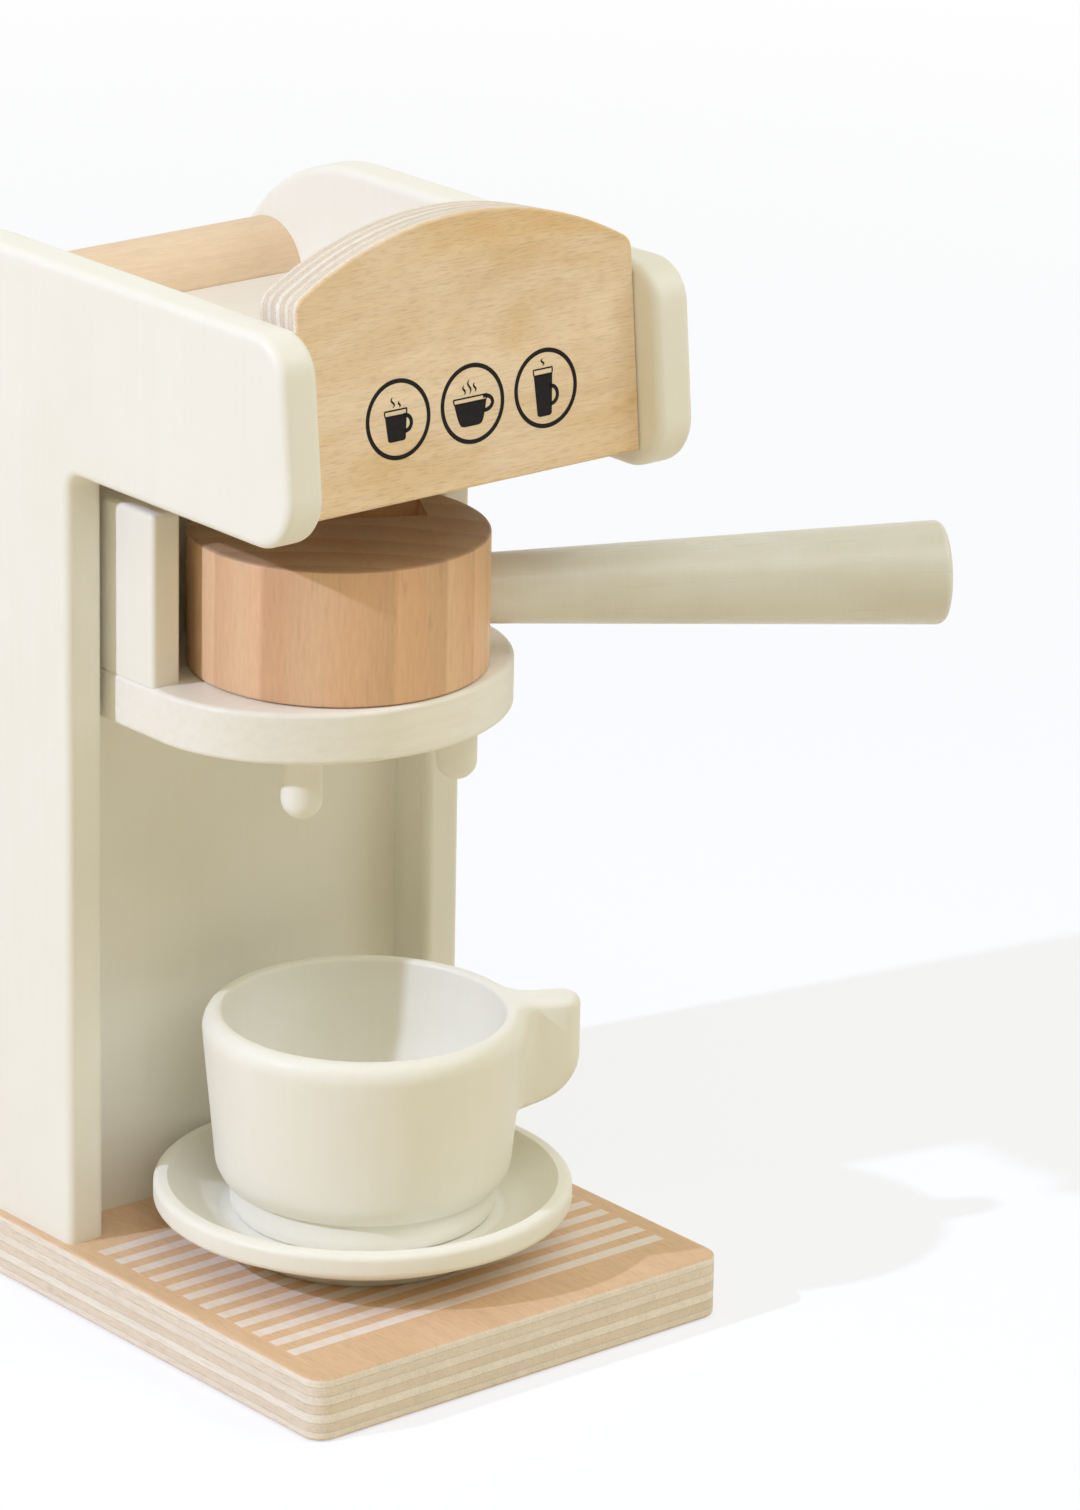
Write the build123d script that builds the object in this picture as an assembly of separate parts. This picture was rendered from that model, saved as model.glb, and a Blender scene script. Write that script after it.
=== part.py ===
from build123d import *
from math import cos, radians, sin, tan
import os

# Toy coffee maker in painted and natural wood, with its portafilter, cup and saucer.
# Millimetres. X runs across the toy, -Y is the front, +Z is up.
# The origin is the centre of the base board's underside.

# Base board
base_front_margin = 9.8         # base in front of the saucer
rear_margin = 2.5               # base behind the columns
base_side_margin = 2.2          # base outside each side panel
base_thickness = 15.0
base_corner_radius = 5.0
base_edge_radius = 1.0

# Side panels, each sawn as a figure 7: a column with a head that reaches forward
side_thickness = 10.0
tray_wall = 27.5                # from the tray's top to the side panels' top
column_depth = 80.7
head_reach = 80.9               # head in front of the columns, at its underside
head_lean = 5.44                # degrees that the head's front leans back
head_top_radius = 10.0
head_bottom_radius = 12.0
head_rear_radius = 49.4
throat_radius = 4.0
side_edge_radius = 2.0

# Inner wall between the columns
wall_setback = 12.0
wall_thickness = 10.0

# Arched plywood front panel of the head
panel_recess = 7.2
panel_thickness = 13.2
panel_lift = 4.8                # from the heads' underside to the panel's lower edge
panel_arch_rise = 18.2          # from the side panels' top to the top of the arch
panel_arch_radius = 91.0
panel_shoulder_radius = 4.0
panel_edge_radius = 0.8
panel_side_clearance = 0.1

# Top board, the tray where cups stand
tray_thickness = 10.0
tray_lift = 4.9                 # from the panel's lower edge to the tray's underside

# Round rail behind the tray
rail_diameter = 25.0
rail_rear_gap = 6.5             # from the rail to the columns' rear edge
rail_drop = 17.3                # from the rail's top to the side panels' top
rail_clearance = 0.1

# Shelf under the portafilter
shelf_side_clearance = 1.6      # to each side panel
shelf_thickness = 12.1
shelf_straight = 18.8           # straight flanks in front of the columns
shelf_front_margin = 0.6        # shelf in front of the portafilter's block
shelf_edge_radius = 1.2

# Guide plates on the shelf, one each side of the portafilter
guide_thickness = 7.8
guide_height = 40.3
guide_reach = 16.0              # in front of the columns
guide_inset = 0.2               # from the shelf's flanks
guide_block_gap = 3.3           # to the portafilter's block
guide_edge_radius = 1.2

# Spouts under the shelf
spout_diameter = 9.4
spout_spacing = 44.6
spout_lead = 3.7                # in front of the cup's axis
spout_drop = 16.2
spout_socket = 7.0

# Portafilter: turned block and tapered handle
block_diameter = 68.4
block_height = 31.7
block_rear_gap = 2.8            # to the inner wall
block_headroom = 20.9           # from the block's top to the front panel's lower edge
block_edge_radius = 0.8
handle_swing = -30.0            # degrees from +X at rest
handle_root_diameter = 16.0
handle_end_diameter = 24.0
handle_length = 105.1
handle_end_radius = 2.0
handle_seat = 1.6               # depth of the flat seat in the block's side
tenon_diameter = 8.0
tenon_length = 13.0
slot_length = 42.0              # rectangular slot in the block's top
slot_width = 14.0
slot_depth = 10.0
slot_offset = 12.5              # from the handle's axis to the slot's middle

# Saucer
saucer_diameter = 96.4
saucer_height = 15.6
saucer_foot_diameter = 58.6
saucer_rim_band = 5.9
saucer_rim_radius = 1.6
saucer_well_depth = 7.5
saucer_well_clearance = 2.0     # round the cup's foot
saucer_foot_flare = 1.5
saucer_across = -0.7
saucer_rear_gap = 0.6           # to the inner wall

# Cup
cup_height = 48.1
cup_rim_diameter = 75.0
cup_body_taper = 3.4            # radius lost from the rim to the waist
cup_waist_height = 12.6
cup_foot_diameter = 61.4
cup_foot_chamfer = 1.6          # height of the foot's bottom chamfer
cup_foot_relief = 1.3           # radius that the chamfer takes off
cup_step_height = 7.0           # height of the foot ring
cup_step_inset = 0.4            # foot ring's taper
cup_step_lip = 1.0              # body beyond the foot ring
cup_step_rise = 0.6
cup_wall = 5.2
cup_floor = 11.0
cup_rim_radius = 2.8            # round the outside, and along the fin's top
cup_lip_radius = 1.0            # round the inside
fin_turn = -25.0                # degrees from +X
fin_projection = 13.4           # beyond the rim
fin_thickness = 9.8
fin_root_height = 27.6          # where the fin leaves the cup's wall, below the rim
fin_slant = 18.0                # degrees that its lower edge rises outwards
fin_corner_radius = 11.0
fin_edge_radius = 3.0
fin_root_radius = 4.5

# Joinery
glue_gap = 0.05                 # radial room for glue round a pin
running_gap = 0.2               # under a loose piece
pin_diameter = 5.0
pin_in_side = 6.0
pin_in_board = 14.0
wall_pin_inset = 28.0           # from the inner wall's ends to its nearest pins
tray_pin_inset = 18.0           # from the tray board's edges to its pins
panel_pin_inset = 9.0           # from the front panel's bottom and the sides' top to its pins
rail_pin_diameter = 8.0
guide_pin_diameter = 4.0
guide_pin_depth = 7.0
guide_pin_inset = 6.0
shelf_pin_spread = 24.0
screw_diameter = 3.5
screw_head_diameter = 7.0
screw_head_depth = 2.4
screw_length = 32.0
screw_inset = 16.0
screw_recess = 1.2
pouring_height = 51.9           # from the cup's rim to the spouts

# Widths and depths worked out from the sizes above
block_radius = block_diameter / 2
inner_width = block_diameter + 2 * (guide_block_gap + guide_thickness + guide_inset
                                    + shelf_side_clearance)
shelf_width = inner_width - 2 * shelf_side_clearance
block_forward = block_radius + block_rear_gap - wall_setback        # from the columns' front
shelf_nose = block_forward + block_radius + shelf_front_margin - shelf_straight
saucer_forward = saucer_diameter / 2 + saucer_rear_gap - wall_setback
spout_forward = saucer_forward + spout_lead
front_apron = saucer_forward + saucer_diameter / 2 + base_front_margin
fin_reach = cup_rim_diameter / 2 + fin_projection

# Heights above the base's top, worked out from the cup upwards
cup_top = 2 * running_gap + saucer_height - saucer_well_depth + cup_height
shelf_top = cup_top + pouring_height + spout_drop + shelf_thickness
panel_bottom = shelf_top + running_gap + block_height + block_headroom
head_underside = panel_bottom - panel_lift
tray_height = panel_bottom + tray_lift + tray_thickness
side_height = tray_height + tray_wall
panel_peak = side_height + panel_arch_rise

# Places worked out from the sizes above
base_width = inner_width + 2 * side_thickness + 2 * base_side_margin
base_depth = front_apron + column_depth + rear_margin
inner_x = inner_width / 2
side_middle_x = inner_x + side_thickness / 2
column_y = front_apron - base_depth / 2
column_rear_y = column_y + column_depth
wall_front_y = column_y + wall_setback
wall_middle_y = wall_front_y + wall_thickness / 2
top = base_thickness
shelf_top_z = top + shelf_top
shelf_bottom_z = shelf_top_z - shelf_thickness
tray_top_z = top + tray_height
tray_bottom_z = tray_top_z - tray_thickness
rail_y = column_rear_y - rail_rear_gap - rail_diameter / 2
rail_z = top + side_height - rail_drop - rail_diameter / 2
lean_slope = tan(radians(head_lean))
block_y = column_y - block_forward
block_bottom_z = shelf_top_z + running_gap
saucer_y = column_y - saucer_forward
saucer_bottom_z = top + running_gap
cup_bottom_z = saucer_bottom_z + saucer_height - saucer_well_depth + running_gap


def panel_face_y(z):
    """Front face of the arched panel at a height z: it leans back with the head."""
    return column_y - head_reach + panel_recess + lean_slope * (z - top - head_underside)


def nearest_vertex(shape, point):
    return shape.vertices().sort_by_distance(Vector(*point))[0]


def round_corner(shape, point, radius):
    """Rounds the corner of a flat outline that lies at a point."""
    return fillet(nearest_vertex(shape, point), radius)


def pin(start, direction, diameter, length, room=0.0):
    """A round pin from a start point; with room it is the hole for that pin."""
    plane = Plane(origin=start, z_dir=direction)
    return extrude(plane * Circle(diameter / 2 + room), length + room)


def cross_pin(side, y, z, diameter, room=0.0):
    """A pin along X that joins a side panel (-1 left, +1 right) to a board between them."""
    start = (side * (inner_x + pin_in_side + room), y, z)
    return pin(start, (-side, 0, 0), diameter, pin_in_side + pin_in_board + room, room)


def inner_wall_pin_places():
    low, high = top + wall_pin_inset, tray_bottom_z - wall_pin_inset
    return [(wall_middle_y, low + share * (high - low)) for share in (0, 0.5, 1)]


def tray_pin_places():
    front = panel_face_y(tray_top_z) + panel_thickness + tray_pin_inset
    rear = rail_y - rail_diameter / 2 - tray_pin_inset
    return [(y, tray_top_z - tray_thickness / 2) for y in (front, rear)]


def front_panel_pin_places():
    low = top + panel_bottom + panel_pin_inset
    high = top + side_height - panel_pin_inset
    middle = panel_thickness / (2 * cos(radians(head_lean)))
    return [(panel_face_y(z) + middle, z) for z in (low, high)]


def side_screw_places():
    return [(side * side_middle_x, y) for side in (-1, 1)
            for y in (column_y + screw_inset, column_rear_y - screw_inset)]


def wall_screw_places():
    return [(side * (inner_x - screw_inset), wall_middle_y) for side in (-1, 1)]


def screw(x, y, room=0.0):
    """A countersunk wood screw driven up through the base; with room it is its hole."""
    head = Cone(screw_head_diameter / 2 + room, screw_diameter / 2 + room, screw_head_depth,
                align=(Align.CENTER, Align.CENTER, Align.MIN))
    shank = Cylinder(screw_diameter / 2 + room, screw_length + room,
                     align=(Align.CENTER, Align.CENTER, Align.MIN))
    body = head + shank
    if room == 0:
        blade = Box(screw_diameter, screw_recess * 0.7, 2 * screw_recess)
        body -= blade + Rot(0, 0, 90) * blade
    return Pos(x, y, screw_recess) * body


def base():
    outline = RectangleRounded(base_width, base_depth, base_corner_radius)
    board = extrude(outline, base_thickness)
    board = fillet(board.edges().filter_by(GeomType.LINE).filter_by(Axis.Z, reverse=True)
                   + board.edges().filter_by(GeomType.CIRCLE), base_edge_radius)
    for x, y in side_screw_places() + wall_screw_places():
        board -= screw(x, y, glue_gap)
        board -= Pos(x, y, 0) * Cylinder(screw_head_diameter / 2 + glue_gap, 2 * screw_recess)
    return board


def side_panel(side):
    """Side panel, side -1 left and +1 right, with every long edge rounded."""
    head_front_y = column_y - head_reach
    head_z = top + head_underside
    crown_z = top + side_height
    lean = lean_slope * (side_height - head_underside)
    corners = [
        ((column_y, top), 0),
        ((column_y, head_z), throat_radius),
        ((head_front_y, head_z), head_bottom_radius),
        ((head_front_y + lean, crown_z), head_top_radius),
        ((column_rear_y, crown_z), head_rear_radius),
        ((column_rear_y, top), 0),
    ]
    outline = make_face(Polyline(*[point for point, radius in corners], close=True))
    for point, radius in corners:
        if radius:
            outline = round_corner(outline, point, radius)
    left_x = side_middle_x * side - side_thickness / 2
    panel = extrude(Plane.YZ.offset(left_x) * outline, side_thickness)
    broad_edges = panel.faces().filter_by(Axis.X).edges()
    panel = fillet(broad_edges.filter_by(lambda e: e.center().Z > top + 0.01), side_edge_radius)
    for y, z in inner_wall_pin_places() + tray_pin_places() + front_panel_pin_places():
        panel -= cross_pin(side, y, z, pin_diameter, glue_gap)
    panel -= cross_pin(side, rail_y, rail_z, rail_pin_diameter, glue_gap)
    for x, y in side_screw_places():
        if x * side > 0:
            panel -= screw(x, y, glue_gap)
    return panel


def inner_wall():
    height = tray_bottom_z - top
    board = Pos(0, wall_middle_y, top + height / 2) * Box(inner_width, wall_thickness, height)
    for side in (-1, 1):
        for y, z in inner_wall_pin_places():
            board -= cross_pin(side, y, z, pin_diameter, glue_gap)
    for x, y in wall_screw_places():
        board -= screw(x, y, glue_gap)
    for hole in shelf_pins(glue_gap):
        board -= hole
    return board


def front_panel():
    """Plywood panel with a shallow arch on top; it leans back between the side panels."""
    half = inner_x - panel_side_clearance
    stretch = 1 / cos(radians(head_lean))
    peak = (panel_peak - panel_bottom) * stretch
    arch = Pos(0, peak - panel_arch_radius) * Circle(panel_arch_radius)
    blank = Pos(0, peak / 2) * Rectangle(2 * half, peak)
    outline = arch & blank
    shoulders = outline.vertices().group_by(Axis.Y)[-1]
    outline = fillet(shoulders, panel_shoulder_radius)
    low_z = top + panel_bottom
    plane = Plane(origin=(0, panel_face_y(low_z), low_z), x_dir=(1, 0, 0),
                  z_dir=(0, -cos(radians(head_lean)), sin(radians(head_lean))))
    panel = extrude(plane * outline, -panel_thickness)
    broad = panel.faces().sort_by(SortBy.AREA)[-2:]
    panel = fillet(broad.edges(), panel_edge_radius)
    for side in (-1, 1):
        for y, z in front_panel_pin_places():
            panel -= cross_pin(side, y, z, pin_diameter, glue_gap)
    return panel


def top_board():
    """Tray board between the sides: its front edge follows the leaning panel."""
    rear_y = rail_y - rail_diameter / 2 - rail_clearance
    depth = panel_thickness / cos(radians(head_lean))
    section = Polyline(
        (panel_face_y(tray_bottom_z) + depth, tray_bottom_z),
        (rear_y, tray_bottom_z),
        (rear_y, tray_top_z),
        (panel_face_y(tray_top_z) + depth, tray_top_z),
        close=True,
    )
    board = extrude(Plane.YZ.offset(-inner_x) * make_face(section), inner_width)
    for side in (-1, 1):
        for y, z in tray_pin_places():
            board -= cross_pin(side, y, z, pin_diameter, glue_gap)
    return board


def rear_rail():
    rail = pin((-inner_x, rail_y, rail_z), (1, 0, 0), rail_diameter, inner_width)
    for side in (-1, 1):
        rail -= cross_pin(side, rail_y, rail_z, rail_pin_diameter, glue_gap)
    return rail


def shelf_pins(room=0.0):
    """Pins along Y between the shelf's rear edge and the inner wall."""
    z = shelf_top_z - shelf_thickness / 2
    start_y = wall_front_y + pin_in_side + room
    length = pin_in_side + pin_in_board + room
    return [pin((x, start_y, z), (0, -1, 0), pin_diameter, length, room)
            for x in (-shelf_pin_spread, 0, shelf_pin_spread)]


def guide_middle_x(side):
    return side * (shelf_width / 2 - guide_inset - guide_thickness / 2)


def guide_pins(side, room=0.0):
    """Upright pins between a guide plate and the shelf."""
    places = (column_y - guide_reach + guide_pin_inset, wall_front_y - guide_pin_inset)
    start_z = shelf_top_z - guide_pin_depth - room
    return [pin((guide_middle_x(side), y, start_z), (0, 0, 1), guide_pin_diameter,
                2 * guide_pin_depth + room, room) for y in places]


def spout_places():
    return [(side * spout_spacing / 2, column_y - spout_forward) for side in (-1, 1)]


def shelf():
    """D-shaped shelf: straight flanks, then a half-ellipse nose."""
    half_turn = 180
    half = shelf_width / 2
    flank_y = column_y - shelf_straight
    outline = make_face(
        Line((half, flank_y), (half, wall_front_y))
        + Line((half, wall_front_y), (-half, wall_front_y))
        + Line((-half, wall_front_y), (-half, flank_y))
        + EllipticalCenterArc((0, flank_y), half, shelf_nose, start_angle=180,
                              arc_size=half_turn)
    )
    board = extrude(Plane.XY.offset(shelf_bottom_z) * outline, shelf_thickness)
    rims = board.faces().filter_by(Axis.Z).edges()
    board = fillet(rims.filter_by(lambda e: e.center().Y < wall_front_y - 0.01),
                   shelf_edge_radius)
    for hole in shelf_pins(glue_gap) + guide_pins(-1, glue_gap) + guide_pins(1, glue_gap):
        board -= hole
    for x, y in spout_places():
        board -= pin((x, y, shelf_bottom_z), (0, 0, 1), spout_diameter, spout_socket, glue_gap)
    return board


def guide_plate(side):
    depth = wall_front_y - column_y + guide_reach
    plate = Pos(guide_middle_x(side), wall_front_y - depth / 2, shelf_top_z + guide_height / 2) * Box(
        guide_thickness, depth, guide_height)
    bottom = plate.faces().sort_by(Axis.Z)[0]
    rear = plate.faces().sort_by(Axis.Y)[-1]
    kept_sharp = bottom.edges() + rear.edges()
    free = [e for e in plate.edges() if not any(e.is_same(k) for k in kept_sharp)]
    plate = fillet(free, guide_edge_radius)
    for hole in guide_pins(side, glue_gap):
        plate -= hole
    return plate


def spout(x, y):
    """Dowel spout with a round lower end, glued into the shelf from beneath."""
    radius = spout_diameter / 2
    straight = spout_drop - radius + spout_socket
    rod = Pos(0, 0, radius) * Cylinder(radius, straight, align=(Align.CENTER, Align.CENTER, Align.MIN))
    tip = Pos(0, 0, radius) * Sphere(radius)
    return Pos(x, y, shelf_bottom_z - spout_drop) * (rod + tip)


def at_portafilter(shape):
    """Places a shape made round the block's foot, with the handle along +X."""
    return Pos(0, block_y, block_bottom_z) * Rot(0, 0, handle_swing) * shape


def handle_shape(room=0.0):
    """Turned handle along +X from the block's side, with its tenon; with room it is the seat."""
    seat_x = block_diameter / 2 - handle_seat
    end_x = seat_x + handle_seat + handle_length
    root = handle_root_diameter / 2 + room
    tip = handle_end_diameter / 2 + room
    tenon = tenon_diameter / 2 + room
    outline = make_face(Polyline(
        (seat_x - tenon_length - room, 0),
        (seat_x - tenon_length - room, tenon),
        (seat_x, tenon),
        (seat_x, root),
        (end_x, tip),
        (end_x, 0),
        close=True,
    ))
    if room == 0:
        outline = round_corner(outline, (end_x, tip), handle_end_radius)
    return Pos(0, 0, block_height / 2) * revolve(outline, Axis.X)


def portafilter_block():
    block = Cylinder(block_diameter / 2, block_height, align=(Align.CENTER, Align.CENTER, Align.MIN))
    block = fillet(block.edges().filter_by(GeomType.CIRCLE), block_edge_radius)
    block -= handle_shape(glue_gap)
    block -= Pos(0, slot_offset, block_height - slot_depth / 2) * Box(
        slot_length, slot_width, slot_depth)
    return at_portafilter(block)


def saucer():
    """Turned saucer: a narrow foot, a flared underside, an upright rim and a dished top."""
    edge = saucer_diameter / 2
    foot = saucer_foot_diameter / 2
    rim_low = saucer_height - saucer_rim_band
    well_floor = saucer_height - saucer_well_depth
    well = cup_foot_diameter / 2 + saucer_well_clearance
    lip = edge - 2 * saucer_rim_radius
    outline = make_face(
        Line((0, 0), (foot, 0))
        + Line((foot, 0), (foot + saucer_foot_flare, rim_low * 0.25))
        + Spline((foot + saucer_foot_flare, rim_low * 0.25), (foot + 0.58 * (edge - foot), rim_low * 0.66),
                 (edge, rim_low))
        + Line((edge, rim_low), (edge, saucer_height))
        + Line((edge, saucer_height), (lip, saucer_height))
        + Spline((lip, saucer_height), (well, well_floor), tangents=((-0.75, -1), (-1, -0.05)))
        + Line((well, well_floor), (0, well_floor))
        + Line((0, well_floor), (0, 0))
    )
    outline = round_corner(outline, (edge, saucer_height), saucer_rim_radius)
    outline = round_corner(outline, (edge, rim_low), saucer_rim_radius)
    body = revolve(Plane.XZ * outline, Axis.Z)
    return Pos(saucer_across, saucer_y, saucer_bottom_z) * body


def cup_fin():
    """Flat fin along +X from inside the cup's wall, level with the rim, with soft edges."""
    waist = cup_rim_diameter / 2 - cup_body_taper
    root = waist * 0.8
    rise = tan(radians(fin_slant))
    low_z = cup_height - fin_root_height
    corner = (fin_reach, low_z + rise * (fin_reach - waist))
    outline = make_face(Polyline(
        (root, cup_height),
        (fin_reach, cup_height),
        corner,
        (root, low_z - rise * (waist - root)),
        close=True,
    ))
    outline = round_corner(outline, corner, fin_corner_radius)
    fin = extrude(Plane.XZ * outline, fin_thickness / 2, both=True)
    broad = fin.faces().filter_by(Axis.Y).edges()
    return fillet(broad.filter_by(lambda e: e.center().X > root + 0.01
                                  and e.center().Z < cup_height - 0.01), fin_edge_radius)


def cup():
    """Turned cup on a foot ring, with its fin blended into the wall and a rounded rim."""
    rim = cup_rim_diameter / 2
    waist = rim - cup_body_taper
    foot = cup_foot_diameter / 2
    step = foot - cup_step_inset
    lip = foot + cup_step_lip
    lip_height = cup_step_height + cup_step_rise
    outer = make_face(
        Line((0, 0), (foot - cup_foot_relief, 0))
        + Line((foot - cup_foot_relief, 0), (foot, cup_foot_chamfer))
        + Line((foot, cup_foot_chamfer), (step, cup_step_height))
        + Line((step, cup_step_height), (lip, lip_height))
        + Spline((lip, lip_height), (waist, cup_waist_height),
                 tangents=((1, 0.55), (cup_body_taper, cup_height - cup_waist_height)))
        + Line((waist, cup_waist_height), (rim, cup_height))
        + Line((rim, cup_height), (0, cup_height))
        + Line((0, cup_height), (0, 0))
    )
    bowl = rim - cup_wall
    hollow = make_face(
        Line((0, cup_floor), (bowl * 0.55, cup_floor))
        + Spline((bowl * 0.55, cup_floor), (bowl * 0.964, cup_height * 0.55), (bowl, cup_height),
                 tangents=((1, 0), (0.03, 1)))
        + Line((bowl, cup_height), (0, cup_height))
        + Line((0, cup_height), (0, cup_floor))
    )
    body = revolve(Plane.XZ * outer, Axis.Z) + cup_fin()
    body = fillet(body.edges().filter_by(GeomType.HYPERBOLA), fin_root_radius)
    body -= revolve(Plane.XZ * hollow, Axis.Z)
    crown = body.faces().sort_by(Axis.Z)[-1]
    body = fillet(crown.outer_wire().edges(), min(cup_rim_radius, 0.6 * cup_wall))
    mouth = body.faces().sort_by(Axis.Z)[-1].inner_wires()[0]
    body = fillet(mouth.edges(), min(cup_lip_radius, 0.2 * cup_wall))
    return Pos(saucer_across, saucer_y, cup_bottom_z) * Rot(0, 0, fin_turn) * body


def group(solids):
    return Compound(children=[s for shape in solids for s in shape.solids()])


pieces = {
    "base": base(),
    "left_side": side_panel(-1),
    "right_side": side_panel(1),
    "inner_wall": inner_wall(),
    "front_panel": front_panel(),
    "top_board": top_board(),
    "rear_rail": rear_rail(),
    "shelf": shelf(),
    "left_guide": guide_plate(-1),
    "right_guide": guide_plate(1),
    "left_spout": spout(*spout_places()[0]),
    "right_spout": spout(*spout_places()[1]),
    "portafilter_block": portafilter_block(),
    "portafilter_handle": at_portafilter(handle_shape()),
    "saucer": saucer(),
    "cup": cup(),
    "base_screws": group([screw(x, y) for x, y in side_screw_places() + wall_screw_places()]),
    "inner_wall_pins": group([cross_pin(side, y, z, pin_diameter)
                              for side in (-1, 1) for y, z in inner_wall_pin_places()]),
    "top_board_pins": group([cross_pin(side, y, z, pin_diameter)
                             for side in (-1, 1) for y, z in tray_pin_places()]),
    "front_panel_pins": group([cross_pin(side, y, z, pin_diameter)
                               for side in (-1, 1) for y, z in front_panel_pin_places()]),
    "rear_rail_pins": group([cross_pin(side, rail_y, rail_z, rail_pin_diameter)
                             for side in (-1, 1)]),
    "shelf_pins": group(shelf_pins()),
    "guide_pins": group(guide_pins(-1) + guide_pins(1)),
}

os.makedirs("parts", exist_ok=True)
for name, piece in pieces.items():
    export_step(piece, f"parts/{name}.step")
    print(name, len(piece.solids()), round(piece.volume / 1000, 2), "cm3")
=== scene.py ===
from math import cos, pi, radians, sin, tan

import bmesh
import bpy
import numpy as np
from mathutils import Matrix, Vector


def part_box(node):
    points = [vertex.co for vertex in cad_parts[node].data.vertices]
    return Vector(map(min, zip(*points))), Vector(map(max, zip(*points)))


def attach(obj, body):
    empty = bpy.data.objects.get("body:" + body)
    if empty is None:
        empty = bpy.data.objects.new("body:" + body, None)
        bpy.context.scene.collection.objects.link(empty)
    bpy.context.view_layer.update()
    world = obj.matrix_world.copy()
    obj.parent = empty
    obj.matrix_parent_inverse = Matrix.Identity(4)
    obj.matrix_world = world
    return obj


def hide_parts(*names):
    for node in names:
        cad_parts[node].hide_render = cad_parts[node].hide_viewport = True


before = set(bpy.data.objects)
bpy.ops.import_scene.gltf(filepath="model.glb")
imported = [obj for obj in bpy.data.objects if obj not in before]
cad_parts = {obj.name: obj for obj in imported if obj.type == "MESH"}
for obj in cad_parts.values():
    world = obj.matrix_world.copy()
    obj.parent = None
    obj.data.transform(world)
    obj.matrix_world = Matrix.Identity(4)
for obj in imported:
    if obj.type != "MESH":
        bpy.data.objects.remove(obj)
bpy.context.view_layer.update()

mm = 0.001


# ---------------------------------------------------------------- Base board
# A 15 mm plywood board, varnished matt, with its corners and arrises rounded by a router.
# It carries everything: screws come up through it into the side panels and the inner wall.

def add(tree, kind, inputs=None, **options):
    """Adds a node. options are its settings; inputs gives its sockets a value, or a socket
    to follow."""
    made = tree.nodes.new(kind)
    for key, value in options.items():
        setattr(made, key, value)
    for key, value in (inputs or {}).items():
        if isinstance(value, bpy.types.NodeSocket):
            tree.links.new(value, made.inputs[key])
        else:
            made.inputs[key].default_value = value
    return made


def calculate(tree, operation, a, b=0.0, c=0.0, clamp=False):
    """The result of one Math node, as a socket."""
    made = add(tree, "ShaderNodeMath", {0: a, 1: b, 2: c}, operation=operation, use_clamp=clamp)
    return made.outputs[0]


def noise(tree, vector, scale, stretch=(1, 1, 1), detail=2.0, roughness=0.5, distortion=0.0):
    """Value noise from 0 to 1. scale is in features per metre, and stretch multiplies it along
    each axis."""
    squeezed = add(tree, "ShaderNodeVectorMath", {0: vector, 1: stretch}, operation="MULTIPLY")
    return add(tree, "ShaderNodeTexNoise", {
        "Vector": squeezed.outputs[0], "Scale": scale, "Detail": detail,
        "Roughness": roughness, "Distortion": distortion}).outputs["Fac"]


def remap(tree, value, low, high, to_low=0.0, to_high=1.0, smooth=False):
    """Carries the range low..high over to to_low..to_high and holds it there."""
    return add(tree, "ShaderNodeMapRange", {
        "Value": value, "From Min": low, "From Max": high, "To Min": to_low, "To Max": to_high},
        interpolation_type="SMOOTHSTEP" if smooth else "LINEAR").outputs["Result"]


def blend(tree, factor, a, b, mode="MIX"):
    """A colour between a and b, or in another of Mix's modes."""
    colours = {"Factor": factor, 6: a, 7: b}
    return add(tree, "ShaderNodeMix", colours, data_type="RGBA", blend_type=mode).outputs[2]


def shade(tree, colour, value):
    """A colour times a grey value."""
    grey = add(tree, "ShaderNodeCombineColor", {"Red": value, "Green": value, "Blue": value})
    return blend(tree, 1.0, colour, grey.outputs[0], "MULTIPLY")


def effect_group(name, inputs):
    """An empty effect: a shader group that reads Coordinates and the inputs, each a number or
    a colour. Returns it with its input sockets."""
    made = bpy.data.node_groups.new(name, "ShaderNodeTree")
    made.interface.new_socket("Coordinates", in_out="INPUT", socket_type="NodeSocketVector")
    for label, value in inputs.items():
        kind = "NodeSocketColor" if isinstance(value, tuple) else "NodeSocketFloat"
        made.interface.new_socket(label, in_out="INPUT", socket_type=kind).default_value = value
    return made, made.nodes.new("NodeGroupInput").outputs


def put_out(group, colour, roughness, height):
    """Gives an effect its three outputs: Colour, Roughness and Height."""
    out = group.nodes.new("NodeGroupOutput")
    for label, value in (("Colour", colour), ("Roughness", roughness), ("Height", height)):
        kind = "NodeSocketColor" if label == "Colour" else "NodeSocketFloat"
        group.interface.new_socket(label, in_out="OUTPUT", socket_type=kind)
        group.links.new(value, out.inputs[label])


def rgb(red, green, blue):
    """An 8-bit screen colour as a linear one."""
    screen = np.array((red, green, blue)) / 255
    linear = np.where(screen <= 0.04045, screen / 12.92, ((screen + 0.055) / 1.055) ** 2.4)
    return (*linear.tolist(), 1.0)


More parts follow.
